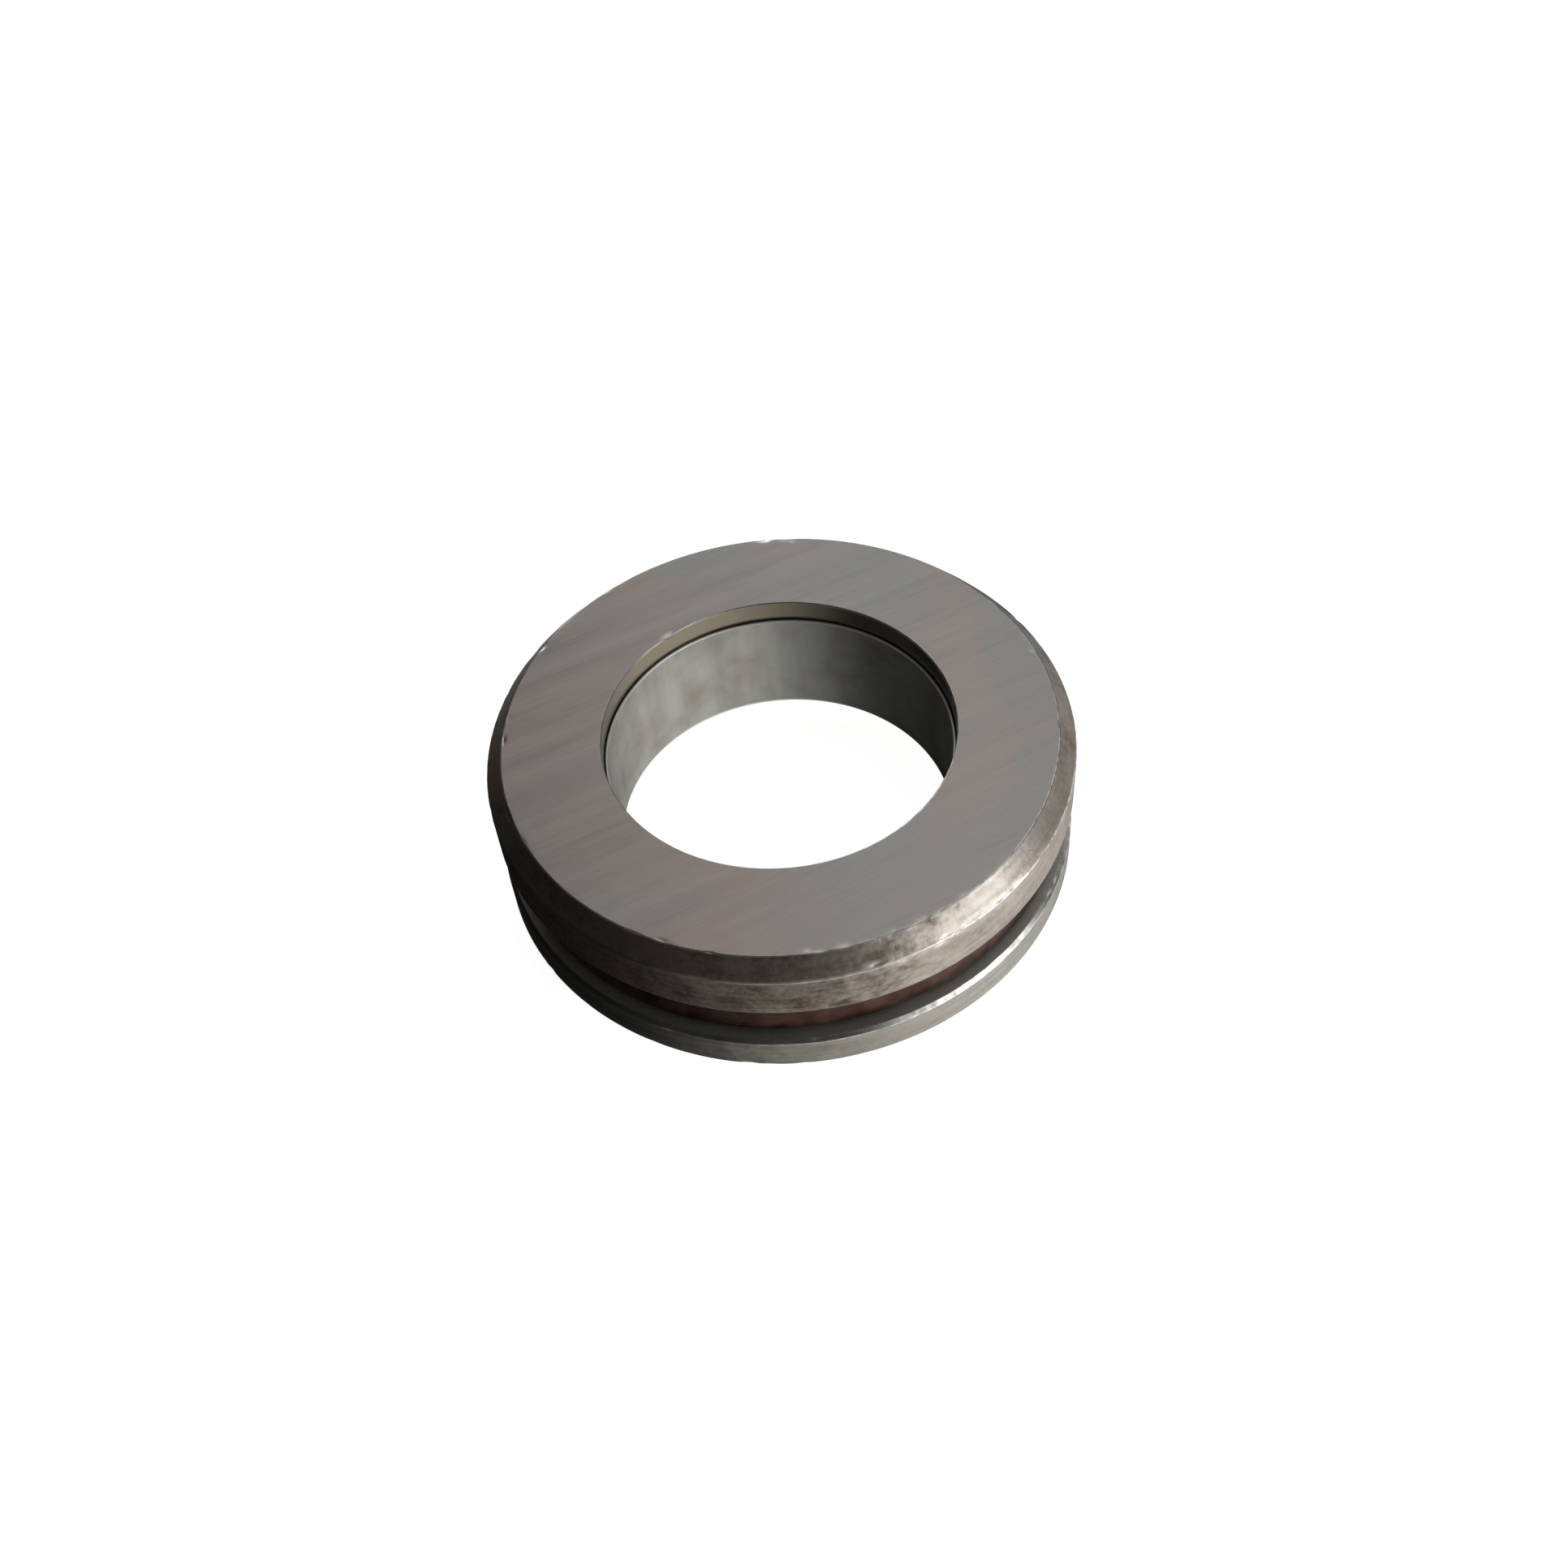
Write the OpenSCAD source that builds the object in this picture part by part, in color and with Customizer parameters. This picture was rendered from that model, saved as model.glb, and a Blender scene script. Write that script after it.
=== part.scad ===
// Single-direction thrust ball bearing with a caged ball set and a locating sleeve.
// It stands on its lower washer: axis along +Z, origin at the centre of the bottom face.

/* [Washers] */
// Outside diameter of both washers
outer_d = 68; // [67:0.5:72]
// Height over both washers
height = 19; // [18.4:0.1:22]
// Thickness of the lower washer
lower_thick = 5.6; // [4.8:0.1:6]
// Radial width of the chamfer round the top face
rim_chamfer_w = 2; // [0.5:0.1:2.5]
// Height of the chamfer round the top face
rim_chamfer_h = 2.25; // [0.5:0.05:3]
// Chamfer round the bottom face
base_chamfer = 1.3; // [0.3:0.1:2]
// Chamfer at the lower end of the lower washer's bore
seat_chamfer = 2.3; // [1.8:0.1:2.6]
// Broken edge on the rims that face the ball gap
gap_chamfer = 0.45; // [0.1:0.05:1]
// Broken edge at both ends of the upper washer's bore
bore_break = 0.12; // [0.05:0.01:0.3]

/* [Sleeve] */
// Bore of the sleeve, which slides over the shaft
bore_d = 40; // [39:0.1:40.4]
// Wall of the sleeve
sleeve_wall = 0.35; // [0.25:0.05:0.5]
// Radial clearance between the sleeve and the upper washer, which turns round it
sleeve_clear = 0.08; // [0.02:0.01:0.1]
// Distance from the top face down to the sleeve's rim
sleeve_drop = 2.7; // [0.5:0.1:6]
// Height of the flare that holds the sleeve in the lower washer
flare_h = 1.3; // [0.6:0.1:1.4]

/* [Balls] */
// Diameter of each ball
ball_d = 8.731; // [8:0.001:8.85]
// Number of balls
ball_count = 16; // [12:1:16]
// Diameter of the circle through the ball centres
pitch_d = 54; // [53.8:0.1:54.2]
// Depth of the groove in each washer
groove_depth = 1.7; // [1.3:0.1:1.8]
// Clearance between a ball and each groove
ball_clear = 0.02; // [0.01:0.01:0.05]
// Groove radius as a multiple of the ball's diameter
groove_ratio = 0.54; // [0.52:0.01:0.56]

/* [Cage] */
// Sheet thickness of the cage's two rims
cage_rim = 0.8; // [0.7:0.05:0.9]
// Sheet thickness of the cage's plate
cage_plate = 0.9; // [0.6:0.1:1]
// Clearance between a ball and its pocket
pocket_clear = 0.2; // [0.1:0.05:0.25]
// Radial gap between the balls and the cage's rims
rim_gap = 0.33; // [0.28:0.01:0.5]
// Distance from the cage's underside to the lower washer
cage_lift = 0.7; // [0.4:0.1:0.8]
// Distance from the cage's top to the upper washer
cage_drop = 0.75; // [0.5:0.05:0.85]
// Outer radius of the cage's bends
cage_bend = 0.7; // [0.3:0.1:0.8]

/* [Hidden] */
$fn = 96;
ball_names = [for (i = [1 : ball_count]) str("ball_", i < 10 ? "0" : "", i)];

outer_r = outer_d / 2;
pitch_r = pitch_d / 2;
ball_r = ball_d / 2;
groove_r = groove_ratio * ball_d;

sleeve_in_r = bore_d / 2;
sleeve_out_r = sleeve_in_r + sleeve_wall;
upper_bore_r = sleeve_out_r + sleeve_clear;

// Levels, from the bottom up
lower_groove_z = lower_thick - groove_depth;
ball_z = lower_groove_z + ball_clear + ball_r;
upper_groove_z = ball_z + ball_r + ball_clear;
upper_under_z = upper_groove_z - groove_depth;
sleeve_rim_z = height - sleeve_drop;

cage_out_r = pitch_r + ball_r + rim_gap + cage_rim;
cage_in_r = pitch_r - ball_r - rim_gap - cage_rim;
cage_low_z = lower_thick + cage_lift;
cage_top_z = upper_under_z - cage_drop;
bend_steps = 4;

ground_steel = [0.52, 0.50, 0.48];
sleeve_steel = [0.58, 0.59, 0.57];
oiled_steel = [0.20, 0.16, 0.14];
ball_steel = [0.75, 0.76, 0.78];

// Section of the upper washer, without its groove
module upper_section() {
    polygon([
        [upper_bore_r, upper_under_z + bore_break],
        [upper_bore_r + bore_break, upper_under_z],
        [outer_r - gap_chamfer, upper_under_z],
        [outer_r, upper_under_z + gap_chamfer],
        [outer_r, height - rim_chamfer_h],
        [outer_r - rim_chamfer_w, height],
        [upper_bore_r + bore_break, height],
        [upper_bore_r, height - bore_break]
    ]);
}

// Section of the lower washer, without its groove
module lower_section() {
    polygon([
        [sleeve_out_r, seat_chamfer],
        [sleeve_out_r + seat_chamfer, 0],
        [outer_r - base_chamfer, 0],
        [outer_r, base_chamfer],
        [outer_r, lower_thick - gap_chamfer],
        [outer_r - gap_chamfer, lower_thick],
        [sleeve_out_r, lower_thick]
    ]);
}

// Thick washer that the load rests on; its lower face carries a ball groove
module upper_washer() {
    color(ground_steel)
    rotate_extrude()
    difference() {
        upper_section();
        translate([pitch_r, upper_groove_z - groove_r])
        circle(r = groove_r);
    }
}

// Washer that the bearing stands on; its upper face carries a ball groove
module lower_washer() {
    color(ground_steel)
    rotate_extrude()
    difference() {
        lower_section();
        translate([pitch_r, lower_groove_z + groove_r])
        circle(r = groove_r);
    }
}

// Thin tube pressed into the lower washer and flared against its chamfer;
// it slides on the shaft and centres the upper washer
module sleeve() {
    wall_skew = sleeve_wall * tan(22.5);
    wall_leg = sleeve_wall * sin(45);
    rim_break = sleeve_wall / 4;
    color(sleeve_steel)
    rotate_extrude()
    polygon([
        [sleeve_in_r, seat_chamfer - wall_skew],
        [sleeve_out_r + flare_h - wall_leg, seat_chamfer - flare_h - wall_leg],
        [sleeve_out_r + flare_h, seat_chamfer - flare_h],
        [sleeve_out_r, seat_chamfer],
        [sleeve_out_r, sleeve_rim_z - rim_break],
        [sleeve_out_r - rim_break, sleeve_rim_z],
        [sleeve_in_r + rim_break, sleeve_rim_z],
        [sleeve_in_r, sleeve_rim_z - rim_break]
    ]);
}

// Points of a rounded corner about a centre, from one angle to another
function bend(centre, from, to) =
    [for (i = [0 : bend_steps])
        let (a = from + (to - from) * i / bend_steps)
        centre + cage_bend * [cos(a), sin(a)]];

// Section of the cage: a channel of pressed sheet, open downwards
module cage_section() {
    polygon(concat(
        [[cage_in_r, cage_low_z], [cage_in_r + cage_rim, cage_low_z]],
        [[cage_in_r + cage_rim, cage_top_z - cage_plate]],
        [[cage_out_r - cage_rim, cage_top_z - cage_plate]],
        [[cage_out_r - cage_rim, cage_low_z], [cage_out_r, cage_low_z]],
        bend([cage_out_r - cage_bend, cage_top_z - cage_bend], 0, 90),
        bend([cage_in_r + cage_bend, cage_top_z - cage_bend], 90, 180)
    ));
}

// Places its children at the centre of ball number i, turned to face outwards
module at_ball(i) {
    rotate([0, 0, (i - 1) * 360 / ball_count])
    translate([pitch_r, 0, ball_z])
    children();
}

// Pressed cage that keeps the balls apart
module cage() {
    color(oiled_steel)
    difference() {
        rotate_extrude()
        cage_section();
        for (i = [1 : ball_count])
            at_ball(i)
            sphere(r = ball_r + pocket_clear);
    }
}

// One ball of the set
module ball(i) {
    color(ball_steel)
    at_ball(i)
    sphere(r = ball_r);
}

lower_washer();
upper_washer();
sleeve();
cage();
for (i = [1 : ball_count])
    ball(i);
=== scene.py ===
"""Looks of a caged thrust ball bearing: two steel washers, a thin sleeve, a cage and its balls.

Lengths are in metres, in the frame's own axes: the bearing axis is +Z and it stands on z = 0.
An angle round the axis is measured from +X towards +Y.
"""

import math

import bpy
import numpy as np
from mathutils import Matrix, Vector


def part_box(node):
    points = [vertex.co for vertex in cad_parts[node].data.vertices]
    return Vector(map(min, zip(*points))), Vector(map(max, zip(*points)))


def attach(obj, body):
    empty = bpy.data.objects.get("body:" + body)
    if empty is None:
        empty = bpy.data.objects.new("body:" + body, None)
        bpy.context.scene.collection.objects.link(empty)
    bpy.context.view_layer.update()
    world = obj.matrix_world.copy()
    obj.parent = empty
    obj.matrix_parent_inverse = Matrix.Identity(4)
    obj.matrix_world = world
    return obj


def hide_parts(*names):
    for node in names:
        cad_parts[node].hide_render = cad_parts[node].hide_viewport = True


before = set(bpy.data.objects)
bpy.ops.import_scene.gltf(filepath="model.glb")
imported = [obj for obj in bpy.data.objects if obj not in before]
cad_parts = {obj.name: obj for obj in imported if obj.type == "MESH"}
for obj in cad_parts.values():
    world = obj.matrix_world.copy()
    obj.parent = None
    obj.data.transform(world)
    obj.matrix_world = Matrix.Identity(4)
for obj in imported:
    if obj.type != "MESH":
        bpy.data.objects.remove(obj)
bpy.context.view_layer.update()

MM = 0.001

# ---------------------------------------------------------------- sizes from the frame


def bore_radius(node):
    """Smallest distance of a node's mesh from the bearing axis."""
    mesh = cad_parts[node].data
    points = np.empty(len(mesh.vertices) * 3)
    mesh.vertices.foreach_get("co", points)
    x, y, _ = points.reshape(-1, 3).T
    return float(np.hypot(x, y).min())


upper_low, upper_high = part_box("upper_washer")
_, lower_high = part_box("lower_washer")
_, sleeve_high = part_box("sleeve")
ball_low, ball_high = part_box("ball_01")

RIM_R = upper_high.x
PITCH_R = (ball_low.x + ball_high.x) / 2
BALL_R = (ball_high.x - ball_low.x) / 2
BALL_Z = (ball_low.z + ball_high.z) / 2
UPPER_BORE_R = bore_radius("upper_washer")
LOWER_BORE_R = bore_radius("lower_washer")
SLEEVE_IN_R = bore_radius("sleeve")
SLEEVE_WALL = LOWER_BORE_R - SLEEVE_IN_R

# cut into the washers and the sleeve, as on their solids
RIM_CHAMFER_W = 2.0 * MM
RIM_CHAMFER_H = 2.25 * MM
BASE_CHAMFER = 1.3 * MM
SEAT_CHAMFER = 2.3 * MM
GAP_CHAMFER = 0.45 * MM
BORE_BREAK = 0.12 * MM
FLARE_H = 1.3 * MM
FLARE_ANGLE = math.radians(45)
GROOVE_DEPTH = 1.7 * MM
GROOVE_R = 0.54 * 2 * BALL_R
# how far each groove stays clear of the balls
BALL_PLAY = 0.02 * MM

# ---------------------------------------------------------------- camera

LENS_MM = 42.1
SENSOR_MM = 36.0
VIEW_ELEVATION = math.radians(49.32)
VIEW_ROLL = math.radians(-5.70)
VIEW_DISTANCE = 6.607 * RIM_R
# where the centre of the base lies from the middle of the view
BASE_RIGHT = 0.0168 * RIM_R
BASE_UP = -0.1697 * RIM_R


def put_in_scene(name, data):
    """New object in the scene, made of this data."""
    item = bpy.data.objects.new(name, data)
    bpy.context.scene.collection.objects.link(item)
    return item


def make_camera():
    """Camera that looks along +Y and down, turned a little about its own line of sight."""
    forward = np.array([0, math.cos(VIEW_ELEVATION), -math.sin(VIEW_ELEVATION)])
    level_right = np.array([1.0, 0, 0])
    level_up = np.cross(level_right, forward)
    right = math.cos(VIEW_ROLL) * level_right + math.sin(VIEW_ROLL) * level_up
    up = math.cos(VIEW_ROLL) * level_up - math.sin(VIEW_ROLL) * level_right
    place = -BASE_RIGHT * right - BASE_UP * up - VIEW_DISTANCE * forward
    data = bpy.data.cameras.new("view")
    data.sensor_width = SENSOR_MM
    data.lens = LENS_MM
    data.clip_start = 0.01
    camera = put_in_scene("view", data)
    turned = Matrix.Identity(4)
    for column, axis in enumerate((right, up, -forward, place)):
        for row in range(3):
            turned[row][column] = axis[row]
    camera.matrix_world = turned
    bpy.context.scene.camera = camera


make_camera()

# ---------------------------------------------------------------- turned pieces

FINISHES = ("ground", "chamfer", "band", "land", "raceway", "bore", "edge")

# longest step along a side of each finish: short where the surface is uneven
STEPS = {
    "ground": 3 * MM,
    "chamfer": 0.3 * MM,
    "band": 0.27 * MM,
    "land": 1.5 * MM,
    "raceway": 0.6 * MM,
    "bore": 1.2 * MM,
    "edge": 0.2 * MM,
    "wall": 1.0 * MM,
}
# distances of the extra rows from a rounded edge: all on a long side, the first few on a short one
CLOSE_ROWS = np.array([0.06, 0.16, 0.3, 0.5, 0.8, 1.2, 1.8]) * MM
FIRST_FEW = 2
LONG_SIDE = 5 * MM
# rows closer together than this are left out
LEAST_STEP = 0.04 * MM
# points on a rounded edge and on a ball groove
ARC_POINTS = 5
GROOVE_POINTS = 20
# rounding of the groove's two edges
GROOVE_EDGE = 0.12 * MM
# direction of the grinding lines on the flat faces
GRIND_ANGLE = math.radians(23)
# a side counts as flat when its ends differ by less than this in height
FLAT = 1e-9
# one unit of the map that holds the direction of the lines
LAY_UNIT = 100 * MM
# step of that map over the side that closes the outline
CLOSING_STEP = 0.1 * MM

# least and greatest width and height of a dent in millimetres, and how far it strays from its edge
DENT_WIDE = (0.4, 1.0)
DENT_HIGH = (0.12, 0.4)
DENT_WANDER = 0.2 * MM
# width and height of a nick
NICK_WIDE = 0.8 * MM
NICK_HIGH = 0.35 * MM
# over how much the scale fades by the band's edges, and how the side bare of scale ends; that side
# faces the light and is painted lighter
SCALE_FADE = 0.4 * MM
LIT_SIDE_FADE = math.radians(7)
LIT_SIDE_RAGGED = 1.1
# power by which a longer wave of the uneven surface is higher
LONG_WAVES = 0.6


def outline_of(corners):
    """Closed outline of a turned section, and the finish of each of its points.

    A corner is (radius, height, fillet, finish of the side that follows), counter-clockwise.
    A fillet is an arc that touches both of its sides: it starts fillet * tan(half the turn)
    before the corner. A side is cut into equal steps, with closer points by its ends, so that
    it stays straight right up to its rounded edge.
    """
    at = np.array([corner[:2] for corner in corners])
    fillets = [corner[2] for corner in corners]
    arcs = []
    for fillet, here, before, after in zip(fillets, at, np.roll(at, 1, 0), np.roll(at, -1, 0)):
        into = (here - before) / np.linalg.norm(here - before)
        out = (after - here) / np.linalg.norm(after - here)
        turn = math.atan2(into[0] * out[1] - into[1] * out[0], into @ out)
        if fillet == 0:
            arcs.append(here[None])
            continue
        side = math.copysign(1, turn)
        reach = fillet * math.tan(abs(turn) / 2)
        centre = here - reach * into + side * fillet * np.array([-into[1], into[0]])
        angles = math.atan2(into[1], into[0]) + np.linspace(0, turn, ARC_POINTS)
        arcs.append(centre + side * fillet * np.stack([np.sin(angles), -np.cos(angles)], 1))
    points, finishes = [], []
    for arc, (_, _, _, finish), following in zip(arcs, corners, arcs[1:] + arcs[:1]):
        points.append(arc)
        finishes += ["edge" if len(arc) > 1 else finish] * len(arc)
        start, end = arc[-1], following[0]
        length = np.linalg.norm(end - start)
        count = max(1, math.ceil(length / STEPS[finish]))
        shares = np.arange(1, count) / count
        is_long = length > LONG_SIDE and finish != "band"
        close = (CLOSE_ROWS if is_long else CLOSE_ROWS[:FIRST_FEW]) / length
        if len(arc) > 1:
            shares = np.append(shares, close)
        if len(following) > 1:
            shares = np.append(shares, 1 - close)
        shares = np.sort(shares[(shares > 0) & (shares < 1)])
        shares = shares[np.diff(shares, prepend=0) > LEAST_STEP / length]
        points.append(start + shares[:, None] * (end - start))
        finishes += [finish] * len(shares)
    return np.concatenate(points), np.array(finishes)


def groove(side):
    """Corners of a ball groove: an arc of radius GROOVE_R about a point on the pitch circle.

    side is +1 for a groove that opens downwards and -1 for one that opens upwards.
    """
    bottom_z = BALL_Z + side * (BALL_R + BALL_PLAY)
    half = math.acos(1 - GROOVE_DEPTH / GROOVE_R)
    angles = side * np.linspace(-half, half, GROOVE_POINTS)
    radii = PITCH_R + GROOVE_R * np.sin(angles)
    heights = bottom_z - side * GROOVE_R * (1 - np.cos(angles))
    corners = [(float(r), float(z), 0, "raceway") for r, z in zip(radii, heights)]
    corners[0] = (*corners[0][:2], GROOVE_EDGE, "raceway")
    corners[-1] = (*corners[-1][:2], GROOVE_EDGE, "land")
    return corners


def uneven(rng, along, around, longest, shortest, waves):
    """Random relief with a spread of 1: a sum of cosine waves with random directions and phases.

    Each wave goes a whole number of times round the axis, so the relief closes on itself.
    Longer waves are higher.
    """
    relief = np.zeros((len(along), len(around)))
    power = 0
    for _ in range(waves):
        length = longest * (shortest / longest) ** rng.random()
        heading = rng.uniform(0, 2 * math.pi)
        turns = round(2 * math.pi * RIM_R / length * math.cos(heading))
        lengthwise = 2 * math.pi / length * math.sin(heading)
        height = (length / longest) ** LONG_WAVES
        phase = rng.uniform(0, 2 * math.pi)
        relief += height * np.cos(turns * around[None] + lengthwise * along[:, None] + phase)
        power += height**2 / 2
    return relief / math.sqrt(power)


def dents_at(rng, along, around, edge_at, count, first, last):
    """Dents along an edge, from 0 to 1 deep.

    Each is a bell curve both round the axis and along the outline: exp(-(angle's arc / wide)**2)
    times exp(-(distance / high)**2). edge_at is the edge's place along the outline, and the dents
    keep between the angles first and last.
    """
    dents = np.zeros((len(along), len(around)))
    for _ in range(count):
        wide = rng.uniform(*DENT_WIDE) * MM
        high = rng.uniform(*DENT_HIGH) * MM
        where = edge_at + rng.normal(0, DENT_WANDER)
        angle = rng.uniform(first, last)
        depth = rng.uniform(0.25, 1) ** 2
        apart = (around - angle + math.pi) % (2 * math.pi) - math.pi
        bell_round = np.exp(-((RIM_R * apart / wide) ** 2))[None]
        bell_along = np.exp(-(((along - where) / high) ** 2))[:, None]
        dents = np.maximum(dents, bell_round * bell_along * depth)
    return dents


def turned(name, corners, steps_round, relief=None):
    """Solid of revolution: the section's outline carried round the axis, closed both ways.

    A point (radius, height) of the outline at angle a lies at (radius cos a, radius sin a,
    height), moved by relief along the outline's outward normal. Each finish in FINISHES is kept
    as a 0-to-1 attribute of its own name, and so is each mark that relief returns: the dents,
    and the side painted lighter towards the light.
    """
    outline, finishes = outline_of(corners)
    chord = np.roll(outline, -1, 0) - np.roll(outline, 1, 0)
    normal = np.stack([chord[:, 1], -chord[:, 0]], 1) / np.linalg.norm(chord, axis=1)[:, None]
    along = np.concatenate([[0], np.cumsum(np.linalg.norm(np.diff(outline, axis=0), axis=1))])
    around = np.arange(steps_round) * 2 * math.pi / steps_round
    out = np.zeros((len(along), steps_round))
    wear_and_light = {}
    if relief:
        out, wear_and_light = relief(outline, along, around, finishes)
    r = outline[:, :1] + out * normal[:, :1]
    z = outline[:, 1:] + out * normal[:, 1:]
    points = np.stack([r * np.cos(around), r * np.sin(around), z], 2)

    rows, columns = out.shape
    i, j = np.meshgrid(np.arange(rows), np.arange(columns), indexing="ij")
    next_i, next_j = (i + 1) % rows, (j + 1) % columns
    corners_of_quads = ((i, j), (i, next_j), (next_i, next_j), (next_i, j))
    quads = np.stack([a * columns + b for a, b in corners_of_quads], 2)

    mesh = bpy.data.meshes.new(name)
    mesh.vertices.add(rows * columns)
    mesh.vertices.foreach_set("co", points.ravel())
    mesh.loops.add(4 * rows * columns)
    mesh.loops.foreach_set("vertex_index", quads.ravel())
    mesh.polygons.add(rows * columns)
    mesh.polygons.foreach_set("loop_start", np.arange(0, 4 * rows * columns, 4))
    mesh.polygons.foreach_set("use_smooth", np.ones(rows * columns, bool))
    mesh.update()
    for finish in FINISHES:
        share = np.repeat((finishes == finish).astype(float), columns)
        mesh.attributes.new(finish, "FLOAT", "POINT").data.foreach_set("value", share)
    for mark, depth in wear_and_light.items():
        mesh.attributes.new(mark, "FLOAT", "POINT").data.foreach_set("value", depth.ravel())
    lay_of_lines(mesh, points, outline, along)
    return put_in_scene(name, mesh)


def lay_of_lines(mesh, points, outline, along):
    """UV map whose V runs along the machining lines and whose U runs across them.

    The lines are straight on flat faces and go round the axis elsewhere.
    """
    rows, columns = points.shape[:2]
    flat = np.abs(np.roll(outline[:, 1], -1) - outline[:, 1]) < FLAT
    lengths = np.append(along, along[-1] + CLOSING_STEP)
    uv = np.empty((rows, columns, 4, 2))
    for corner, (down, across) in enumerate(((0, 0), (0, 1), (1, 1), (1, 0))):
        at = np.roll(points, (-down, -across), (0, 1))
        straight_u = at[..., 1] * math.cos(GRIND_ANGLE) - at[..., 0] * math.sin(GRIND_ANGLE)
        straight_v = at[..., 0] * math.cos(GRIND_ANGLE) + at[..., 1] * math.sin(GRIND_ANGLE)
        round_u = np.repeat(lengths[down : rows + down, None], columns, 1)
        steps_on = np.arange(columns)[None] + across
        round_v = np.repeat(RIM_R * 2 * math.pi / columns * steps_on, rows, 0)
        uv[:, :, corner, 0] = np.where(flat[:, None], straight_u, round_u)
        uv[:, :, corner, 1] = np.where(flat[:, None], straight_v, round_v)
    mesh.uv_layers.new(name="lay").data.foreach_set("uv", (uv / LAY_UNIT).ravel())


def outer_wear(seed, edges, dent_depth, scale_depth, dent_arcs, lit_side_from, lit_side_to, nicks=()):
    """Relief of a washer: mottled scale on the band and dents along the edges, and a side bare of scale
    that faces the light, painted lighter.

    edges are corners of the section, as (radius, height). dent_arcs are (first angle, last angle,
    dents on each edge). The side between two angles is bare of scale, with a ragged start and end:
    its share is half of 1 + tanh(angle inside it / LIT_SIDE_FADE + LIT_SIDE_RAGGED * uneven relief).
    That side lies towards the light, so its lighter bare steel is partly handling marks and partly
    painted light. nicks are (corner, angle) of single nicks, each a bell curve of full depth.
    """

    def relief(outline, along, around, finishes):
        def place_of(edge):
            """Where a corner lies along the outline."""
            return along[np.argmin(np.linalg.norm(outline - np.array(edge), axis=1))]

        rng = np.random.default_rng(seed)
        band = along[finishes == "band"]
        inside = np.clip(np.minimum(along - band[0], band[-1] - along) / SCALE_FADE, 0, 1)[:, None]
        mottle = uneven(rng, along, around, longest=6 * MM, shortest=0.9 * MM, waves=90)
        scale = 0.5 + 0.5 * np.tanh(mottle)
        dents = np.zeros_like(scale)
        for edge in edges:
            for first, last, count in dent_arcs:
                more = dents_at(rng, along, around, place_of(edge), count, first, last)
                dents = np.maximum(dents, more)
        for edge, angle in nicks:
            wide = ((around - angle) * edge[0] / NICK_WIDE)[None]
            high = ((along - place_of(edge)) / NICK_HIGH)[:, None]
            dents = np.maximum(dents, np.exp(-(wide**2) - high**2))
        # the side bare of scale faces the light: its share paints the rims lighter there, as painted
        # light
        middle, half = (lit_side_from + lit_side_to) / 2, (lit_side_to - lit_side_from) / 2
        apart = np.abs((around - middle + math.pi) % (2 * math.pi) - math.pi)
        inwards = (half - apart) / LIT_SIDE_FADE
        ragged = uneven(rng, along, around, longest=5 * MM, shortest=0.7 * MM, waves=90)
        lit_and_rubbed = 0.5 + 0.5 * np.tanh(inwards[None] + LIT_SIDE_RAGGED * ragged)
        return -scale_depth * scale * inside - dent_depth * dents, {"dent": dents, "lit_and_rubbed": lit_and_rubbed}

    return relief


# ---------------------------------------------------------------- washers and sleeve

upper_z = upper_low.z
top_z = upper_high.z
upper_edges = [(RIM_R, top_z - RIM_CHAMFER_H), (RIM_R - RIM_CHAMFER_W, top_z)]
upper_washer = turned(
    "upper_washer_turned",
    [
        (UPPER_BORE_R + BORE_BREAK, upper_z, 0.05 * MM, "land"),
        *groove(+1),
        (RIM_R - GAP_CHAMFER, upper_z, 0.15 * MM, "chamfer"),
        (RIM_R, upper_z + GAP_CHAMFER, 0.2 * MM, "band"),
        (*upper_edges[0], 0.4 * MM, "chamfer"),
        (*upper_edges[1], 0.18 * MM, "ground"),
        (UPPER_BORE_R + BORE_BREAK, top_z, 0.1 * MM, "bore"),
        (UPPER_BORE_R, top_z - BORE_BREAK, 0.1 * MM, "bore"),
        (UPPER_BORE_R, upper_z + BORE_BREAK, 0.05 * MM, "bore"),
    ],
    steps_round=600,
    relief=outer_wear(
        seed=11,
        edges=upper_edges,
        dent_depth=0.16 * MM,
        scale_depth=0.035 * MM,
        dent_arcs=[
            (-math.pi, math.pi, 34),
            (math.radians(-82), math.radians(-50), 22),
        ],
        # the bare side faces the light, so these lighter rims are painted light
        lit_side_from=math.radians(-74),
        lit_side_to=math.radians(35),
        nicks=[((UPPER_BORE_R + BORE_BREAK, top_z), math.radians(126))],
    ),
)
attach(upper_washer, "upper_washer")
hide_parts("upper_washer")

lower_z = lower_high.z
lower_washer = turned(
    "lower_washer_turned",
    [
        (LOWER_BORE_R + SEAT_CHAMFER, 0, 0.15 * MM, "ground"),
        (RIM_R - BASE_CHAMFER, 0, 0.2 * MM, "chamfer"),
        (RIM_R, BASE_CHAMFER, 0.25 * MM, "band"),
        # the gap chamfer takes the edge finish, so it carries the painted highlight of the edges
        (RIM_R, lower_z - GAP_CHAMFER, 0.2 * MM, "edge"),
        (RIM_R - GAP_CHAMFER, lower_z, 0.12 * MM, "land"),
        *groove(-1),
        (LOWER_BORE_R, lower_z, 0.05 * MM, "bore"),
        (LOWER_BORE_R, SEAT_CHAMFER, 0.15 * MM, "chamfer"),
    ],
    steps_round=660,
    relief=outer_wear(
        seed=23,
        edges=[(RIM_R, lower_z - GAP_CHAMFER), (RIM_R, BASE_CHAMFER)],
        dent_depth=0.12 * MM,
        scale_depth=0.02 * MM,
        dent_arcs=[(-math.pi, math.pi, 30)],
        # the bare side faces the light, so these lighter rims are painted light
        lit_side_from=math.radians(-100),
        lit_side_to=math.radians(60),
    ),
)
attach(lower_washer, "lower_washer_set")
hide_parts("lower_washer")

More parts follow.
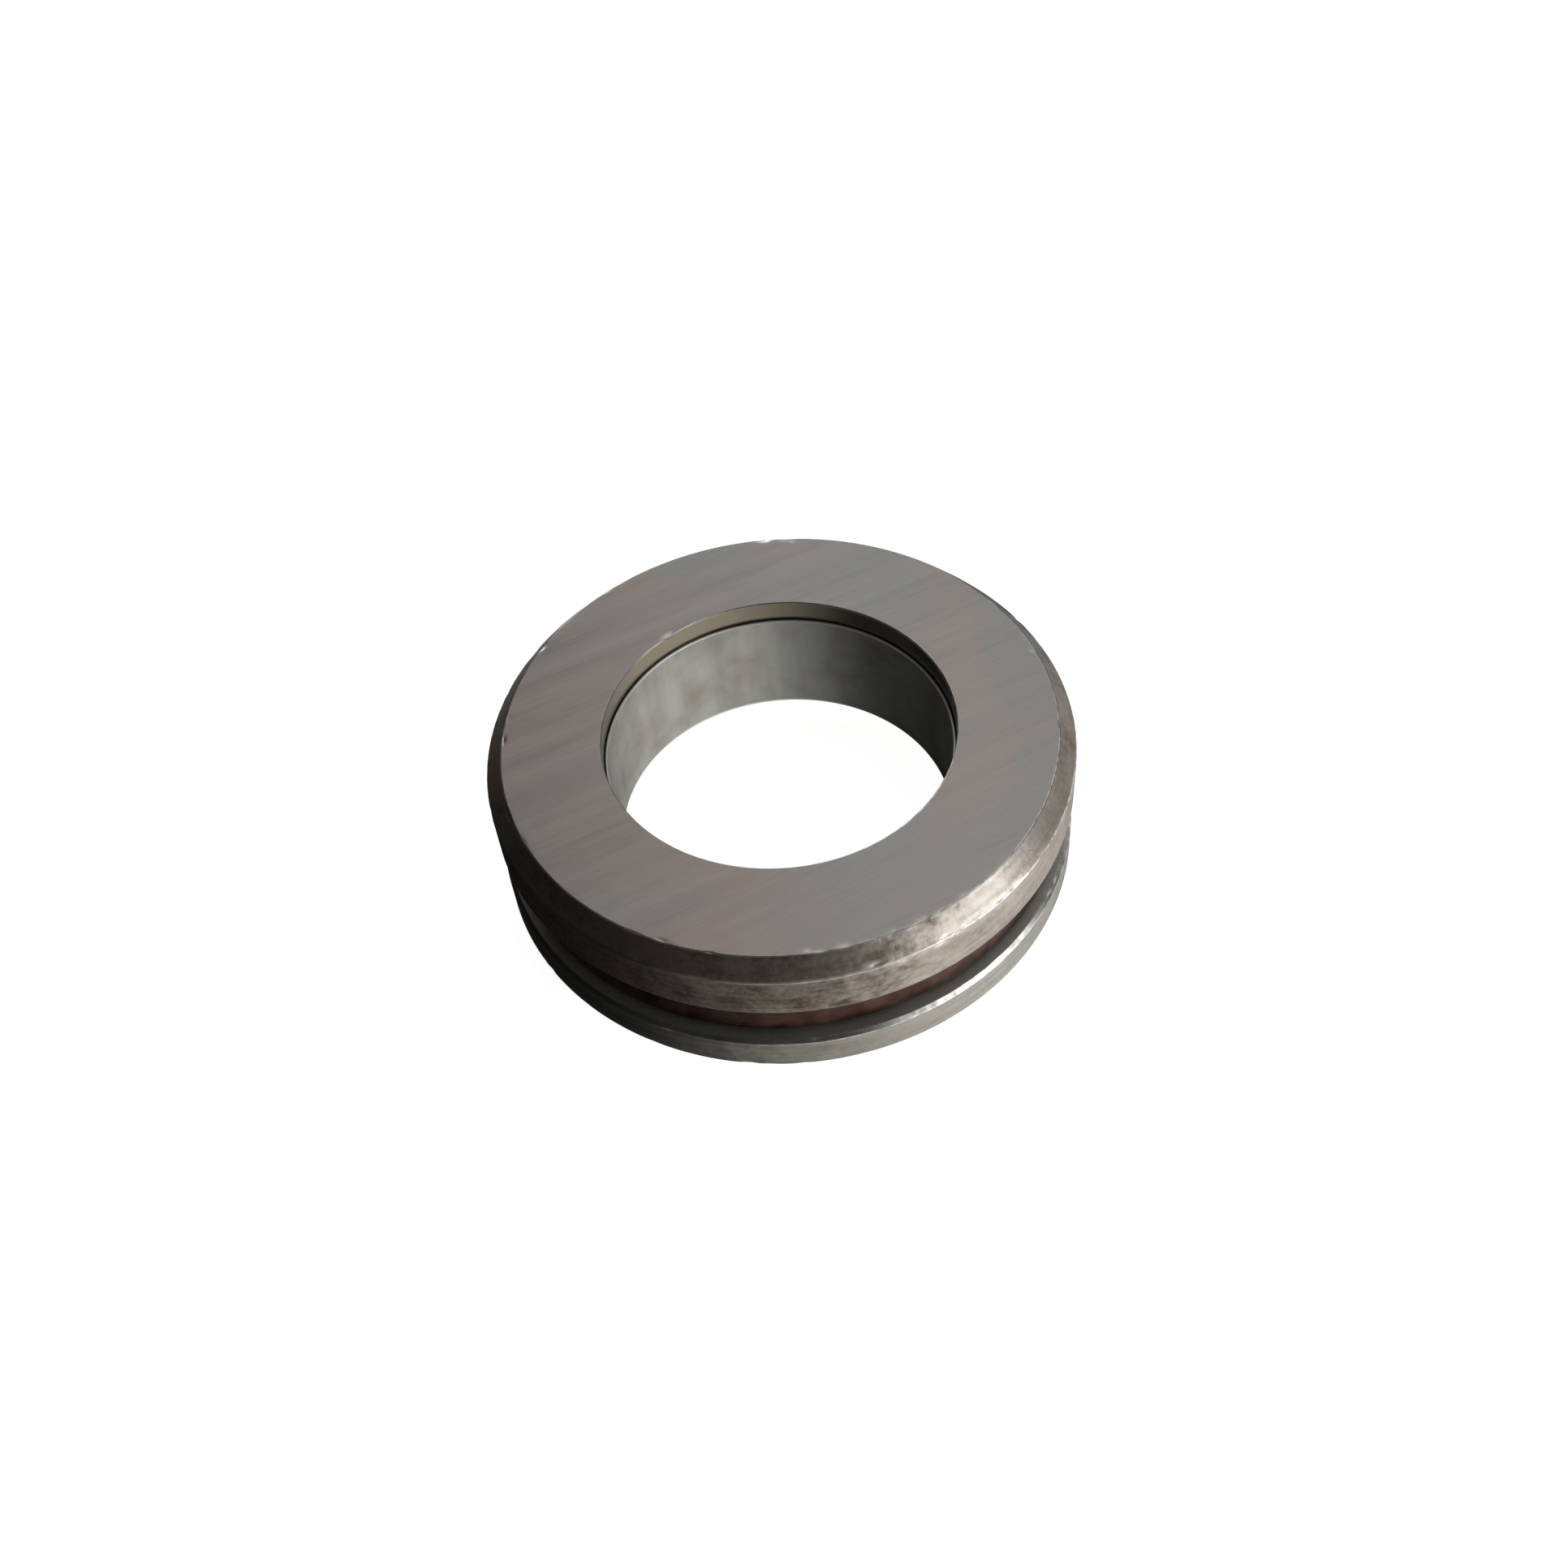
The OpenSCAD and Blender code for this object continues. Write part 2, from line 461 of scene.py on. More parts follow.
# the flare lies against the washer's seat chamfer, and the wall keeps its thickness round the bend
flare_skew = SLEEVE_WALL * math.tan(FLARE_ANGLE / 2)
flare_leg = SLEEVE_WALL * math.sin(FLARE_ANGLE)
sleeve_out_r = SLEEVE_IN_R + SLEEVE_WALL
flare_out_r = sleeve_out_r + FLARE_H
sleeve = turned(
    "sleeve_drawn",
    [
        (SLEEVE_IN_R, SEAT_CHAMFER - flare_skew, 0.45 * MM, "wall"),
        (flare_out_r - flare_leg, SEAT_CHAMFER - FLARE_H - flare_leg, 0.1 * MM, "wall"),
        (flare_out_r, SEAT_CHAMFER - FLARE_H, 0.1 * MM, "wall"),
        (sleeve_out_r, SEAT_CHAMFER, 0.1 * MM, "wall"),
        (sleeve_out_r, sleeve_high.z, 0.15 * MM, "wall"),
        (SLEEVE_IN_R, sleeve_high.z, 0.15 * MM, "wall"),
    ],
    steps_round=480,
)
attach(sleeve, "lower_washer_set")
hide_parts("sleeve")

# ---------------------------------------------------------------- materials

# steps between two nodes in the editor, across and down
NODE_STEP_X = 240
NODE_STEP_Y = 340


def empty_material(name):
    """New material with no nodes, and its lists of nodes and links."""
    material = bpy.data.materials.new(name)
    material.use_nodes = True
    material.node_tree.nodes.clear()
    return material, material.node_tree.nodes, material.node_tree.links


def set_inputs(node, values):
    """Values on a node's own sockets, given by the sockets' names or numbers."""
    for socket, value in values.items():
        node.inputs[socket].default_value = value


def lay_out(*strips):
    """Places of the nodes in the editor: a strip for each effect, from the top down.

    A strip is the frame that holds it, or None, and then its nodes from left to right.
    """
    for down, (holder, *members) in enumerate(strips):
        for across, node in enumerate(members):
            node.parent = holder
            node.location = (NODE_STEP_X * across, -NODE_STEP_Y * down)


def ground_steel(name, place, scaled, warm, cool):
    """Hardened washer steel: ground flat faces, and rims with turning lines under oxide scale.

    place moves the patterns, so that two washers don't carry the same marks. scaled is how much
    scale is left, 0 to 1. warm and cool are the two tints of the oil film on the bare steel.
    """
    material, nodes, links = empty_material(name)

    where = nodes.new("NodeFrame")
    where.label = "places and finishes"
    lines = nodes.new("NodeFrame")
    lines.label = "grinding and turning lines"
    film = nodes.new("NodeFrame")
    film.label = "tint of the ground faces"
    scale = nodes.new("NodeFrame")
    scale.label = "oxide scale on the rims"
    wear_and_light = nodes.new("NodeFrame")
    wear_and_light.label = "worn edges and dents"
    gloss = nodes.new("NodeFrame")
    gloss.label = "roughness"
    relief = nodes.new("NodeFrame")
    relief.label = "relief"

    # places and finishes
    at = nodes.new("ShaderNodeTexCoord")
    at.label = "place on the washer"

    millimetres = nodes.new("ShaderNodeMapping")
    millimetres.label = "in millimetres"
    set_inputs(millimetres, {"Scale": (1000, 1000, 1000), "Location": place})
    links.new(at.outputs["Object"], millimetres.inputs["Vector"])

    along_grinding = nodes.new("ShaderNodeMapping")
    along_grinding.label = "drawn out along the grinding lines"
    along_grinding.vector_type = "TEXTURE"
    set_inputs(along_grinding, {"Rotation": (0, 0, GRIND_ANGLE), "Scale": (30 * MM, MM, MM)})
    links.new(at.outputs["Object"], along_grinding.inputs["Vector"])

    round_rim = nodes.new("ShaderNodeMapping")
    round_rim.label = "drawn out round the axis"
    round_rim.inputs["Scale"].default_value = (40, 40, 1000)
    links.new(at.outputs["Object"], round_rim.inputs["Vector"])

    is_ground = nodes.new("ShaderNodeAttribute")
    is_ground.label = "ground face"
    is_ground.attribute_name = "ground"

    is_band = nodes.new("ShaderNodeAttribute")
    is_band.label = "outer band"
    is_band.attribute_name = "band"

    is_chamfer = nodes.new("ShaderNodeAttribute")
    is_chamfer.label = "chamfer"
    is_chamfer.attribute_name = "chamfer"

    is_bore = nodes.new("ShaderNodeAttribute")
    is_bore.label = "bore"
    is_bore.attribute_name = "bore"

    is_raceway = nodes.new("ShaderNodeAttribute")
    is_raceway.label = "ball groove"
    is_raceway.attribute_name = "raceway"

    is_land = nodes.new("ShaderNodeAttribute")
    is_land.label = "land beside the groove"
    is_land.attribute_name = "land"

    is_edge = nodes.new("ShaderNodeAttribute")
    is_edge.label = "rounded edge"
    is_edge.attribute_name = "edge"

    in_dent = nodes.new("ShaderNodeAttribute")
    in_dent.label = "depth in a dent"
    in_dent.attribute_name = "dent"

    # share of the side bare of scale, which faces the light: painted light on the rims
    lit_and_rubbed = nodes.new("ShaderNodeAttribute")
    lit_and_rubbed.label = "rubbed by handling"
    lit_and_rubbed.attribute_name = "lit_and_rubbed"

    # grinding and turning lines
    fine_lines = nodes.new("ShaderNodeTexNoise")
    fine_lines.label = "fine grinding lines"
    set_inputs(fine_lines, {"Scale": 3.2, "Detail": 4, "Roughness": 0.65})
    links.new(along_grinding.outputs["Vector"], fine_lines.inputs["Vector"])

    broad_lines = nodes.new("ShaderNodeTexNoise")
    broad_lines.label = "broad wheel passes"
    set_inputs(broad_lines, {"Scale": 0.42, "Detail": 2})
    links.new(along_grinding.outputs["Vector"], broad_lines.inputs["Vector"])

    ground_lines = nodes.new("ShaderNodeMix")
    ground_lines.label = "fine over broad"
    ground_lines.inputs["Factor"].default_value = 0.5
    links.new(fine_lines.outputs["Fac"], ground_lines.inputs["A"])
    links.new(broad_lines.outputs["Fac"], ground_lines.inputs["B"])

    turned_lines = nodes.new("ShaderNodeTexNoise")
    turned_lines.label = "turning lines"
    set_inputs(turned_lines, {"Scale": 1.5, "Detail": 4})
    links.new(round_rim.outputs["Vector"], turned_lines.inputs["Vector"])

    which_lines = nodes.new("ShaderNodeMix")
    which_lines.label = "straight on faces, round on rims"
    links.new(is_ground.outputs["Fac"], which_lines.inputs["Factor"])
    links.new(turned_lines.outputs["Fac"], which_lines.inputs["A"])
    links.new(ground_lines.outputs["Result"], which_lines.inputs["B"])

    line_contrast = nodes.new("ShaderNodeMapRange")
    line_contrast.label = "contrast of the lines"
    set_inputs(line_contrast, {"From Min": 0.3, "From Max": 0.7, "To Min": 0.82, "To Max": 1.14})
    links.new(which_lines.outputs["Result"], line_contrast.inputs["Value"])

    # tint of the ground faces
    patches = nodes.new("ShaderNodeTexNoise")
    patches.label = "patches of oil film"
    set_inputs(patches, {"Scale": 0.06, "Detail": 3, "Distortion": 0.4})
    links.new(millimetres.outputs["Vector"], patches.inputs["Vector"])

    across = nodes.new("ShaderNodeSeparateXYZ")
    across.label = "place across the washer"
    links.new(millimetres.outputs["Vector"], across.inputs["Vector"])

    film_side = nodes.new("ShaderNodeMath")
    film_side.label = "warmer on one side"
    film_side.operation = "MULTIPLY_ADD"
    film_side.inputs[1].default_value = 0.004
    links.new(across.outputs["X"], film_side.inputs[0])
    links.new(patches.outputs["Fac"], film_side.inputs[2])

    film_tint = nodes.new("ShaderNodeValToRGB")
    film_tint.label = "warm to neutral steel"
    oiled, clean = film_tint.color_ramp.elements
    oiled.position = 0.38
    oiled.color = warm
    clean.position = 0.62
    clean.color = cool
    links.new(film_side.outputs["Value"], film_tint.inputs["Fac"])

    lined_steel = nodes.new("ShaderNodeMix")
    lined_steel.label = "lines drawn into the steel"
    lined_steel.data_type = "RGBA"
    lined_steel.blend_type = "MULTIPLY"
    lined_steel.inputs["Factor"].default_value = 1
    links.new(film_tint.outputs["Color"], lined_steel.inputs["A"])
    links.new(line_contrast.outputs["Result"], lined_steel.inputs["B"])

    # oxide scale on the rims
    patches_of_scale = nodes.new("ShaderNodeTexNoise")
    patches_of_scale.label = "soft patches of scale"
    set_inputs(patches_of_scale, {"Scale": 0.3, "Detail": 3})
    links.new(millimetres.outputs["Vector"], patches_of_scale.inputs["Vector"])

    speckle = nodes.new("ShaderNodeTexNoise")
    speckle.label = "fine speckle"
    set_inputs(speckle, {"Scale": 1.7, "Detail": 3, "Roughness": 0.6})
    links.new(millimetres.outputs["Vector"], speckle.inputs["Vector"])

    speckled = nodes.new("ShaderNodeMix")
    speckled.label = "speckle over patches"
    speckled.inputs["Factor"].default_value = 0.45
    links.new(patches_of_scale.outputs["Fac"], speckled.inputs["A"])
    links.new(speckle.outputs["Fac"], speckled.inputs["B"])

    blotches = nodes.new("ShaderNodeMix")
    blotches.label = "turning lines show through"
    blotches.inputs["Factor"].default_value = 0.3
    links.new(speckled.outputs["Result"], blotches.inputs["A"])
    links.new(turned_lines.outputs["Fac"], blotches.inputs["B"])

    # scale thins out on the side towards the light: a painted lighter side over the scale's own
    # blotches
    bare_and_lit = nodes.new("ShaderNodeMath")
    bare_and_lit.label = "rubbed where handled"
    bare_and_lit.operation = "MULTIPLY_ADD"
    bare_and_lit.inputs[1].default_value = 0.2
    links.new(lit_and_rubbed.outputs["Fac"], bare_and_lit.inputs[0])
    links.new(blotches.outputs["Result"], bare_and_lit.inputs[2])

    scale_tint = nodes.new("ShaderNodeValToRGB")
    scale_tint.label = "brown-black scale to bare steel"
    scaly, bare = scale_tint.color_ramp.elements
    scaly.position = 0.38
    scaly.color = (0.16, 0.131, 0.11, 1)
    bare.position = 0.8
    bare.color = (0.585, 0.54, 0.49, 1)
    middle = scale_tint.color_ramp.elements.new(0.56)
    middle.color = (0.37, 0.324, 0.28, 1)
    links.new(bare_and_lit.outputs["Value"], scale_tint.inputs["Fac"])

    rim_share = nodes.new("ShaderNodeMath")
    rim_share.label = "band and chamfer"
    rim_share.use_clamp = True
    links.new(is_chamfer.outputs["Fac"], rim_share.inputs[0])
    links.new(is_band.outputs["Fac"], rim_share.inputs[1])

    scale_share = nodes.new("ShaderNodeMath")
    scale_share.label = "how much scale is left"
    scale_share.operation = "MULTIPLY"
    scale_share.inputs[1].default_value = scaled
    links.new(rim_share.outputs["Value"], scale_share.inputs[0])

    scaled_steel = nodes.new("ShaderNodeMix")
    scaled_steel.label = "scale laid over the steel"
    scaled_steel.data_type = "RGBA"
    links.new(scale_share.outputs["Value"], scaled_steel.inputs["Factor"])
    links.new(lined_steel.outputs["Result"], scaled_steel.inputs["A"])
    links.new(scale_tint.outputs["Color"], scaled_steel.inputs["B"])

    # the bore's darker brown is partly an oil film and partly painted shade in the recess above the
    # sleeve
    oiled_and_shaded_bore = nodes.new("ShaderNodeMix")
    oiled_and_shaded_bore.label = "oiled bore"
    oiled_and_shaded_bore.data_type = "RGBA"
    oiled_and_shaded_bore.inputs["B"].default_value = (0.27, 0.24, 0.185, 1)
    links.new(is_bore.outputs["Fac"], oiled_and_shaded_bore.inputs["Factor"])
    links.new(scaled_steel.outputs["Result"], oiled_and_shaded_bore.inputs["A"])

    land_steel = nodes.new("ShaderNodeMix")
    land_steel.label = "bright turned land"
    land_steel.data_type = "RGBA"
    land_steel.inputs["B"].default_value = (0.66, 0.65, 0.61, 1)
    links.new(is_land.outputs["Fac"], land_steel.inputs["Factor"])
    links.new(oiled_and_shaded_bore.outputs["Result"], land_steel.inputs["A"])

    # worn edges and dents, with a painted highlight on the edges towards the light
    edge_breaks = nodes.new("ShaderNodeTexNoise")
    edge_breaks.label = "uneven wear"
    set_inputs(edge_breaks, {"Scale": 0.9, "Detail": 4})
    links.new(millimetres.outputs["Vector"], edge_breaks.inputs["Vector"])

    edge_share = nodes.new("ShaderNodeMapRange")
    edge_share.label = "where an edge is rubbed bright"
    set_inputs(edge_share, {"From Min": 0.35, "From Max": 0.6})
    links.new(edge_breaks.outputs["Fac"], edge_share.inputs["Value"])

    # edges are brightest on the side towards the light: a painted highlight line along them
    lit_and_handled = nodes.new("ShaderNodeMapRange")
    lit_and_handled.label = "brighter where handled"
    lit_and_handled.inputs["To Min"].default_value = 0.3
    links.new(lit_and_rubbed.outputs["Fac"], lit_and_handled.inputs["Value"])

    lit_edge_share = nodes.new("ShaderNodeMath")
    lit_edge_share.label = "edges only"
    lit_edge_share.operation = "MULTIPLY"
    links.new(lit_and_handled.outputs["Result"], lit_edge_share.inputs[0])
    links.new(is_edge.outputs["Fac"], lit_edge_share.inputs[1])

    edge_wear_and_highlight = nodes.new("ShaderNodeMath")
    edge_wear_and_highlight.label = "rubbed edges"
    edge_wear_and_highlight.operation = "MULTIPLY"
    links.new(edge_share.outputs["Result"], edge_wear_and_highlight.inputs[0])
    links.new(lit_edge_share.outputs["Value"], edge_wear_and_highlight.inputs[1])

    bare_and_highlit = nodes.new("ShaderNodeMath")
    bare_and_highlit.label = "bare metal in edges and dents"
    bare_and_highlit.operation = "MAXIMUM"
    links.new(edge_wear_and_highlight.outputs["Value"], bare_and_highlit.inputs[0])
    links.new(in_dent.outputs["Fac"], bare_and_highlit.inputs[1])

    # bare metal in the dents, and a near-white painted highlight on the edges
    bare_and_highlit_steel = nodes.new("ShaderNodeMix")
    bare_and_highlit_steel.label = "bare metal shows"
    bare_and_highlit_steel.data_type = "RGBA"
    bare_and_highlit_steel.inputs["B"].default_value = (0.82, 0.80, 0.76, 1)
    links.new(bare_and_highlit.outputs["Value"], bare_and_highlit_steel.inputs["Factor"])
    links.new(land_steel.outputs["Result"], bare_and_highlit_steel.inputs["A"])

    # roughness
    face_gloss = nodes.new("ShaderNodeMapRange")
    face_gloss.label = "ground steel"
    set_inputs(face_gloss, {"From Min": 0.3, "From Max": 0.7, "To Min": 0.34, "To Max": 0.5})
    links.new(which_lines.outputs["Result"], face_gloss.inputs["Value"])

    scale_gloss = nodes.new("ShaderNodeMapRange")
    scale_gloss.label = "dull where scaled"
    set_inputs(scale_gloss, {"From Min": 0.35, "From Max": 0.7, "To Min": 0.62, "To Max": 0.44})
    links.new(bare_and_lit.outputs["Value"], scale_gloss.inputs["Value"])

    rim_gloss = nodes.new("ShaderNodeMix")
    rim_gloss.label = "rims"
    links.new(scale_share.outputs["Value"], rim_gloss.inputs["Factor"])
    links.new(face_gloss.outputs["Result"], rim_gloss.inputs["A"])
    links.new(scale_gloss.outputs["Result"], rim_gloss.inputs["B"])

    groove_gloss = nodes.new("ShaderNodeMix")
    groove_gloss.label = "polished ball groove"
    groove_gloss.inputs["B"].default_value = 0.12
    links.new(is_raceway.outputs["Fac"], groove_gloss.inputs["Factor"])
    links.new(rim_gloss.outputs["Result"], groove_gloss.inputs["A"])

    bore_gloss = nodes.new("ShaderNodeMix")
    bore_gloss.label = "smooth bore"
    bore_gloss.inputs["B"].default_value = 0.25
    links.new(is_bore.outputs["Fac"], bore_gloss.inputs["Factor"])
    links.new(groove_gloss.outputs["Result"], bore_gloss.inputs["A"])

    land_gloss = nodes.new("ShaderNodeMix")
    land_gloss.label = "turned land"
    land_gloss.inputs["B"].default_value = 0.5
    links.new(is_land.outputs["Fac"], land_gloss.inputs["Factor"])
    links.new(bore_gloss.outputs["Result"], land_gloss.inputs["A"])

    worn_gloss = nodes.new("ShaderNodeMix")
    worn_gloss.label = "rubbed edges are smoother"
    worn_gloss.inputs["B"].default_value = 0.28
    links.new(bare_and_highlit.outputs["Value"], worn_gloss.inputs["Factor"])
    links.new(land_gloss.outputs["Result"], worn_gloss.inputs["A"])

    # relief
    line_relief = nodes.new("ShaderNodeBump")
    line_relief.label = "height of the lines"
    set_inputs(line_relief, {"Strength": 0.25, "Distance": 0.03 * MM})
    links.new(which_lines.outputs["Result"], line_relief.inputs["Height"])

    scale_height = nodes.new("ShaderNodeMath")
    scale_height.label = "scale only on the rims"
    scale_height.operation = "MULTIPLY"
    links.new(blotches.outputs["Result"], scale_height.inputs[0])
    links.new(scale_share.outputs["Value"], scale_height.inputs[1])

    scale_relief = nodes.new("ShaderNodeBump")
    scale_relief.label = "height of the scale"
    set_inputs(scale_relief, {"Strength": 0.6, "Distance": 0.12 * MM})
    links.new(scale_height.outputs["Value"], scale_relief.inputs["Height"])
    links.new(line_relief.outputs["Normal"], scale_relief.inputs["Normal"])

    lay = nodes.new("ShaderNodeTangent")
    lay.label = "across the machining lines"
    lay.direction_type = "UV_MAP"
    lay.uv_map = "lay"

    steel = nodes.new("ShaderNodeBsdfPrincipled")
    steel.label = "washer steel"
    set_inputs(steel, {"Metallic": 1, "Anisotropic": 0.5})
    links.new(bare_and_highlit_steel.outputs["Result"], steel.inputs["Base Color"])
    links.new(worn_gloss.outputs["Result"], steel.inputs["Roughness"])
    links.new(scale_relief.outputs["Normal"], steel.inputs["Normal"])
    links.new(lay.outputs["Tangent"], steel.inputs["Tangent"])

    surface = nodes.new("ShaderNodeOutputMaterial")
    surface.label = "finished surface"
    links.new(steel.outputs["BSDF"], surface.inputs["Surface"])
    lay_out(
        (where, at, millimetres, along_grinding, round_rim, is_ground, is_band, is_chamfer, is_bore,
         is_raceway, is_land, is_edge, in_dent, lit_and_rubbed),
        (lines, fine_lines, broad_lines, ground_lines, turned_lines, which_lines, line_contrast),
        (film, patches, across, film_side, film_tint, lined_steel),
        (scale, patches_of_scale, speckle, speckled, blotches, bare_and_lit, scale_tint, rim_share,
         scale_share, scaled_steel, oiled_and_shaded_bore, land_steel),
        (wear_and_light, edge_breaks, edge_share, lit_and_handled, lit_edge_share, edge_wear_and_highlight, bare_and_highlit, bare_and_highlit_steel),
        (gloss, face_gloss, scale_gloss, rim_gloss, groove_gloss, bore_gloss, land_gloss, worn_gloss),
        (relief, line_relief, scale_height, scale_relief),
        (None, lay, steel, surface),
    )
    return material


def drawn_steel(name):
    """Thin drawn tube: satin wall with faint marks along the axis and thin oil stains."""
    material, nodes, links = empty_material(name)

    marks = nodes.new("NodeFrame")
    marks.label = "drawing marks along the axis"
    stain = nodes.new("NodeFrame")
    stain.label = "oil stains"

    at = nodes.new("ShaderNodeTexCoord")
    at.label = "place on the sleeve"

    along_axis = nodes.new("ShaderNodeMapping")
    along_axis.label = "drawn out along the axis"
    along_axis.inputs["Scale"].default_value = (1000, 1000, 45)
    links.new(at.outputs["Object"], along_axis.inputs["Vector"])

    scratches = nodes.new("ShaderNodeTexNoise")
    scratches.label = "drawing marks"
    set_inputs(scratches, {"Scale": 0.5, "Detail": 4, "Roughness": 0.6})
    links.new(along_axis.outputs["Vector"], scratches.inputs["Vector"])

    millimetres = nodes.new("ShaderNodeMapping")
    millimetres.label = "in millimetres"
    millimetres.inputs["Scale"].default_value = (1000, 1000, 1000)
    links.new(at.outputs["Object"], millimetres.inputs["Vector"])

    stains = nodes.new("ShaderNodeTexNoise")
    stains.label = "thin and thick oil"
    set_inputs(stains, {"Scale": 0.22, "Detail": 4, "Distortion": 0.2})
    links.new(millimetres.outputs["Vector"], stains.inputs["Vector"])

    tint = nodes.new("ShaderNodeValToRGB")
    tint.label = "stained to clean steel"
    stained, clean = tint.color_ramp.elements
    stained.position = 0.3
    stained.color = (0.36, 0.345, 0.315, 1)
    clean.position = 0.6
    clean.color = (0.46, 0.47, 0.435, 1)
    links.new(stains.outputs["Fac"], tint.inputs["Fac"])

    shade = nodes.new("ShaderNodeMapRange")
    shade.label = "contrast of the marks"
    set_inputs(shade, {"From Min": 0.3, "From Max": 0.7, "To Min": 0.94, "To Max": 1.05})
    links.new(scratches.outputs["Fac"], shade.inputs["Value"])

    marked = nodes.new("ShaderNodeMix")
    marked.label = "marks drawn into the wall"
    marked.data_type = "RGBA"
    marked.blend_type = "MULTIPLY"
    marked.inputs["Factor"].default_value = 1
    links.new(tint.outputs["Color"], marked.inputs["A"])
    links.new(shade.outputs["Result"], marked.inputs["B"])

    satin = nodes.new("ShaderNodeMapRange")
    satin.label = "satin, duller in the marks"
    set_inputs(satin, {"From Min": 0.3, "From Max": 0.7, "To Min": 0.5, "To Max": 0.42})
    links.new(scratches.outputs["Fac"], satin.inputs["Value"])

    relief = nodes.new("ShaderNodeBump")
    relief.label = "height of the marks"
    set_inputs(relief, {"Strength": 0.2, "Distance": 0.03 * MM})
    links.new(scratches.outputs["Fac"], relief.inputs["Height"])

    is_edge = nodes.new("ShaderNodeAttribute")
    is_edge.label = "rounded edge"
    is_edge.attribute_name = "edge"

    # near-white rounded edges of the sleeve: a painted highlight where its edge catches the light
    rim = nodes.new("ShaderNodeMix")
    rim.label = "rim rubbed bright"
    rim.data_type = "RGBA"
    rim.inputs["B"].default_value = (0.86, 0.88, 0.84, 1)
    links.new(is_edge.outputs["Fac"], rim.inputs["Factor"])
    links.new(marked.outputs["Result"], rim.inputs["A"])

    steel = nodes.new("ShaderNodeBsdfPrincipled")
    steel.label = "drawn steel"
    steel.inputs["Metallic"].default_value = 1
    links.new(rim.outputs["Result"], steel.inputs["Base Color"])
    links.new(satin.outputs["Result"], steel.inputs["Roughness"])
    links.new(relief.outputs["Normal"], steel.inputs["Normal"])

    surface = nodes.new("ShaderNodeOutputMaterial")
    surface.label = "finished surface"
    links.new(steel.outputs["BSDF"], surface.inputs["Surface"])
    lay_out(
        (marks, along_axis, scratches, shade, satin, relief),
        (stain, millimetres, stains, tint),
        (None, at, marked, is_edge, rim, steel, surface),
    )
    return material


def pressed_steel(name):
    """Pressed cage: dark steel under reddish-brown oil, brighter in patches here and there."""
    material, nodes, links = empty_material(name)

    oil = nodes.new("NodeFrame")
    oil.label = "oil and tarnish"

    at = nodes.new("ShaderNodeTexCoord")
    at.label = "place on the cage"

    millimetres = nodes.new("ShaderNodeMapping")
    millimetres.label = "in millimetres"
    millimetres.inputs["Scale"].default_value = (1000, 1000, 1000)
    links.new(at.outputs["Object"], millimetres.inputs["Vector"])

    blotches = nodes.new("ShaderNodeTexNoise")
    blotches.label = "tarnish"
    set_inputs(blotches, {"Scale": 0.35, "Detail": 5, "Distortion": 0.5})
    links.new(millimetres.outputs["Vector"], blotches.inputs["Vector"])

    tint = nodes.new("ShaderNodeValToRGB")
    tint.label = "oil-brown to steel"
    stained, clean = tint.color_ramp.elements
    stained.position = 0.36
    stained.color = (0.075, 0.031, 0.027, 1)
    clean.position = 0.7
    clean.color = (0.16, 0.098, 0.08, 1)
    links.new(blotches.outputs["Fac"], tint.inputs["Fac"])

    wetness = nodes.new("ShaderNodeMapRange")
    wetness.label = "wet where oily"
    set_inputs(wetness, {"From Min": 0.3, "From Max": 0.7, "To Min": 0.28, "To Max": 0.48})
    links.new(blotches.outputs["Fac"], wetness.inputs["Value"])

    grain = nodes.new("ShaderNodeTexNoise")
    grain.label = "grain of the sheet"
    set_inputs(grain, {"Scale": 4, "Detail": 3})
    links.new(millimetres.outputs["Vector"], grain.inputs["Vector"])

    relief = nodes.new("ShaderNodeBump")
    relief.label = "height of the grain"
    set_inputs(relief, {"Strength": 0.3, "Distance": 0.04 * MM})
    links.new(grain.outputs["Fac"], relief.inputs["Height"])

    steel = nodes.new("ShaderNodeBsdfPrincipled")
    steel.label = "oiled pressed steel"
    steel.inputs["Metallic"].default_value = 1
    links.new(tint.outputs["Color"], steel.inputs["Base Color"])
    links.new(wetness.outputs["Result"], steel.inputs["Roughness"])
    links.new(relief.outputs["Normal"], steel.inputs["Normal"])

    surface = nodes.new("ShaderNodeOutputMaterial")
    surface.label = "finished surface"
    links.new(steel.outputs["BSDF"], surface.inputs["Surface"])
    lay_out(
        (oil, blotches, tint, wetness),
        (None, at, millimetres, grain, relief, steel, surface),
    )
    return material


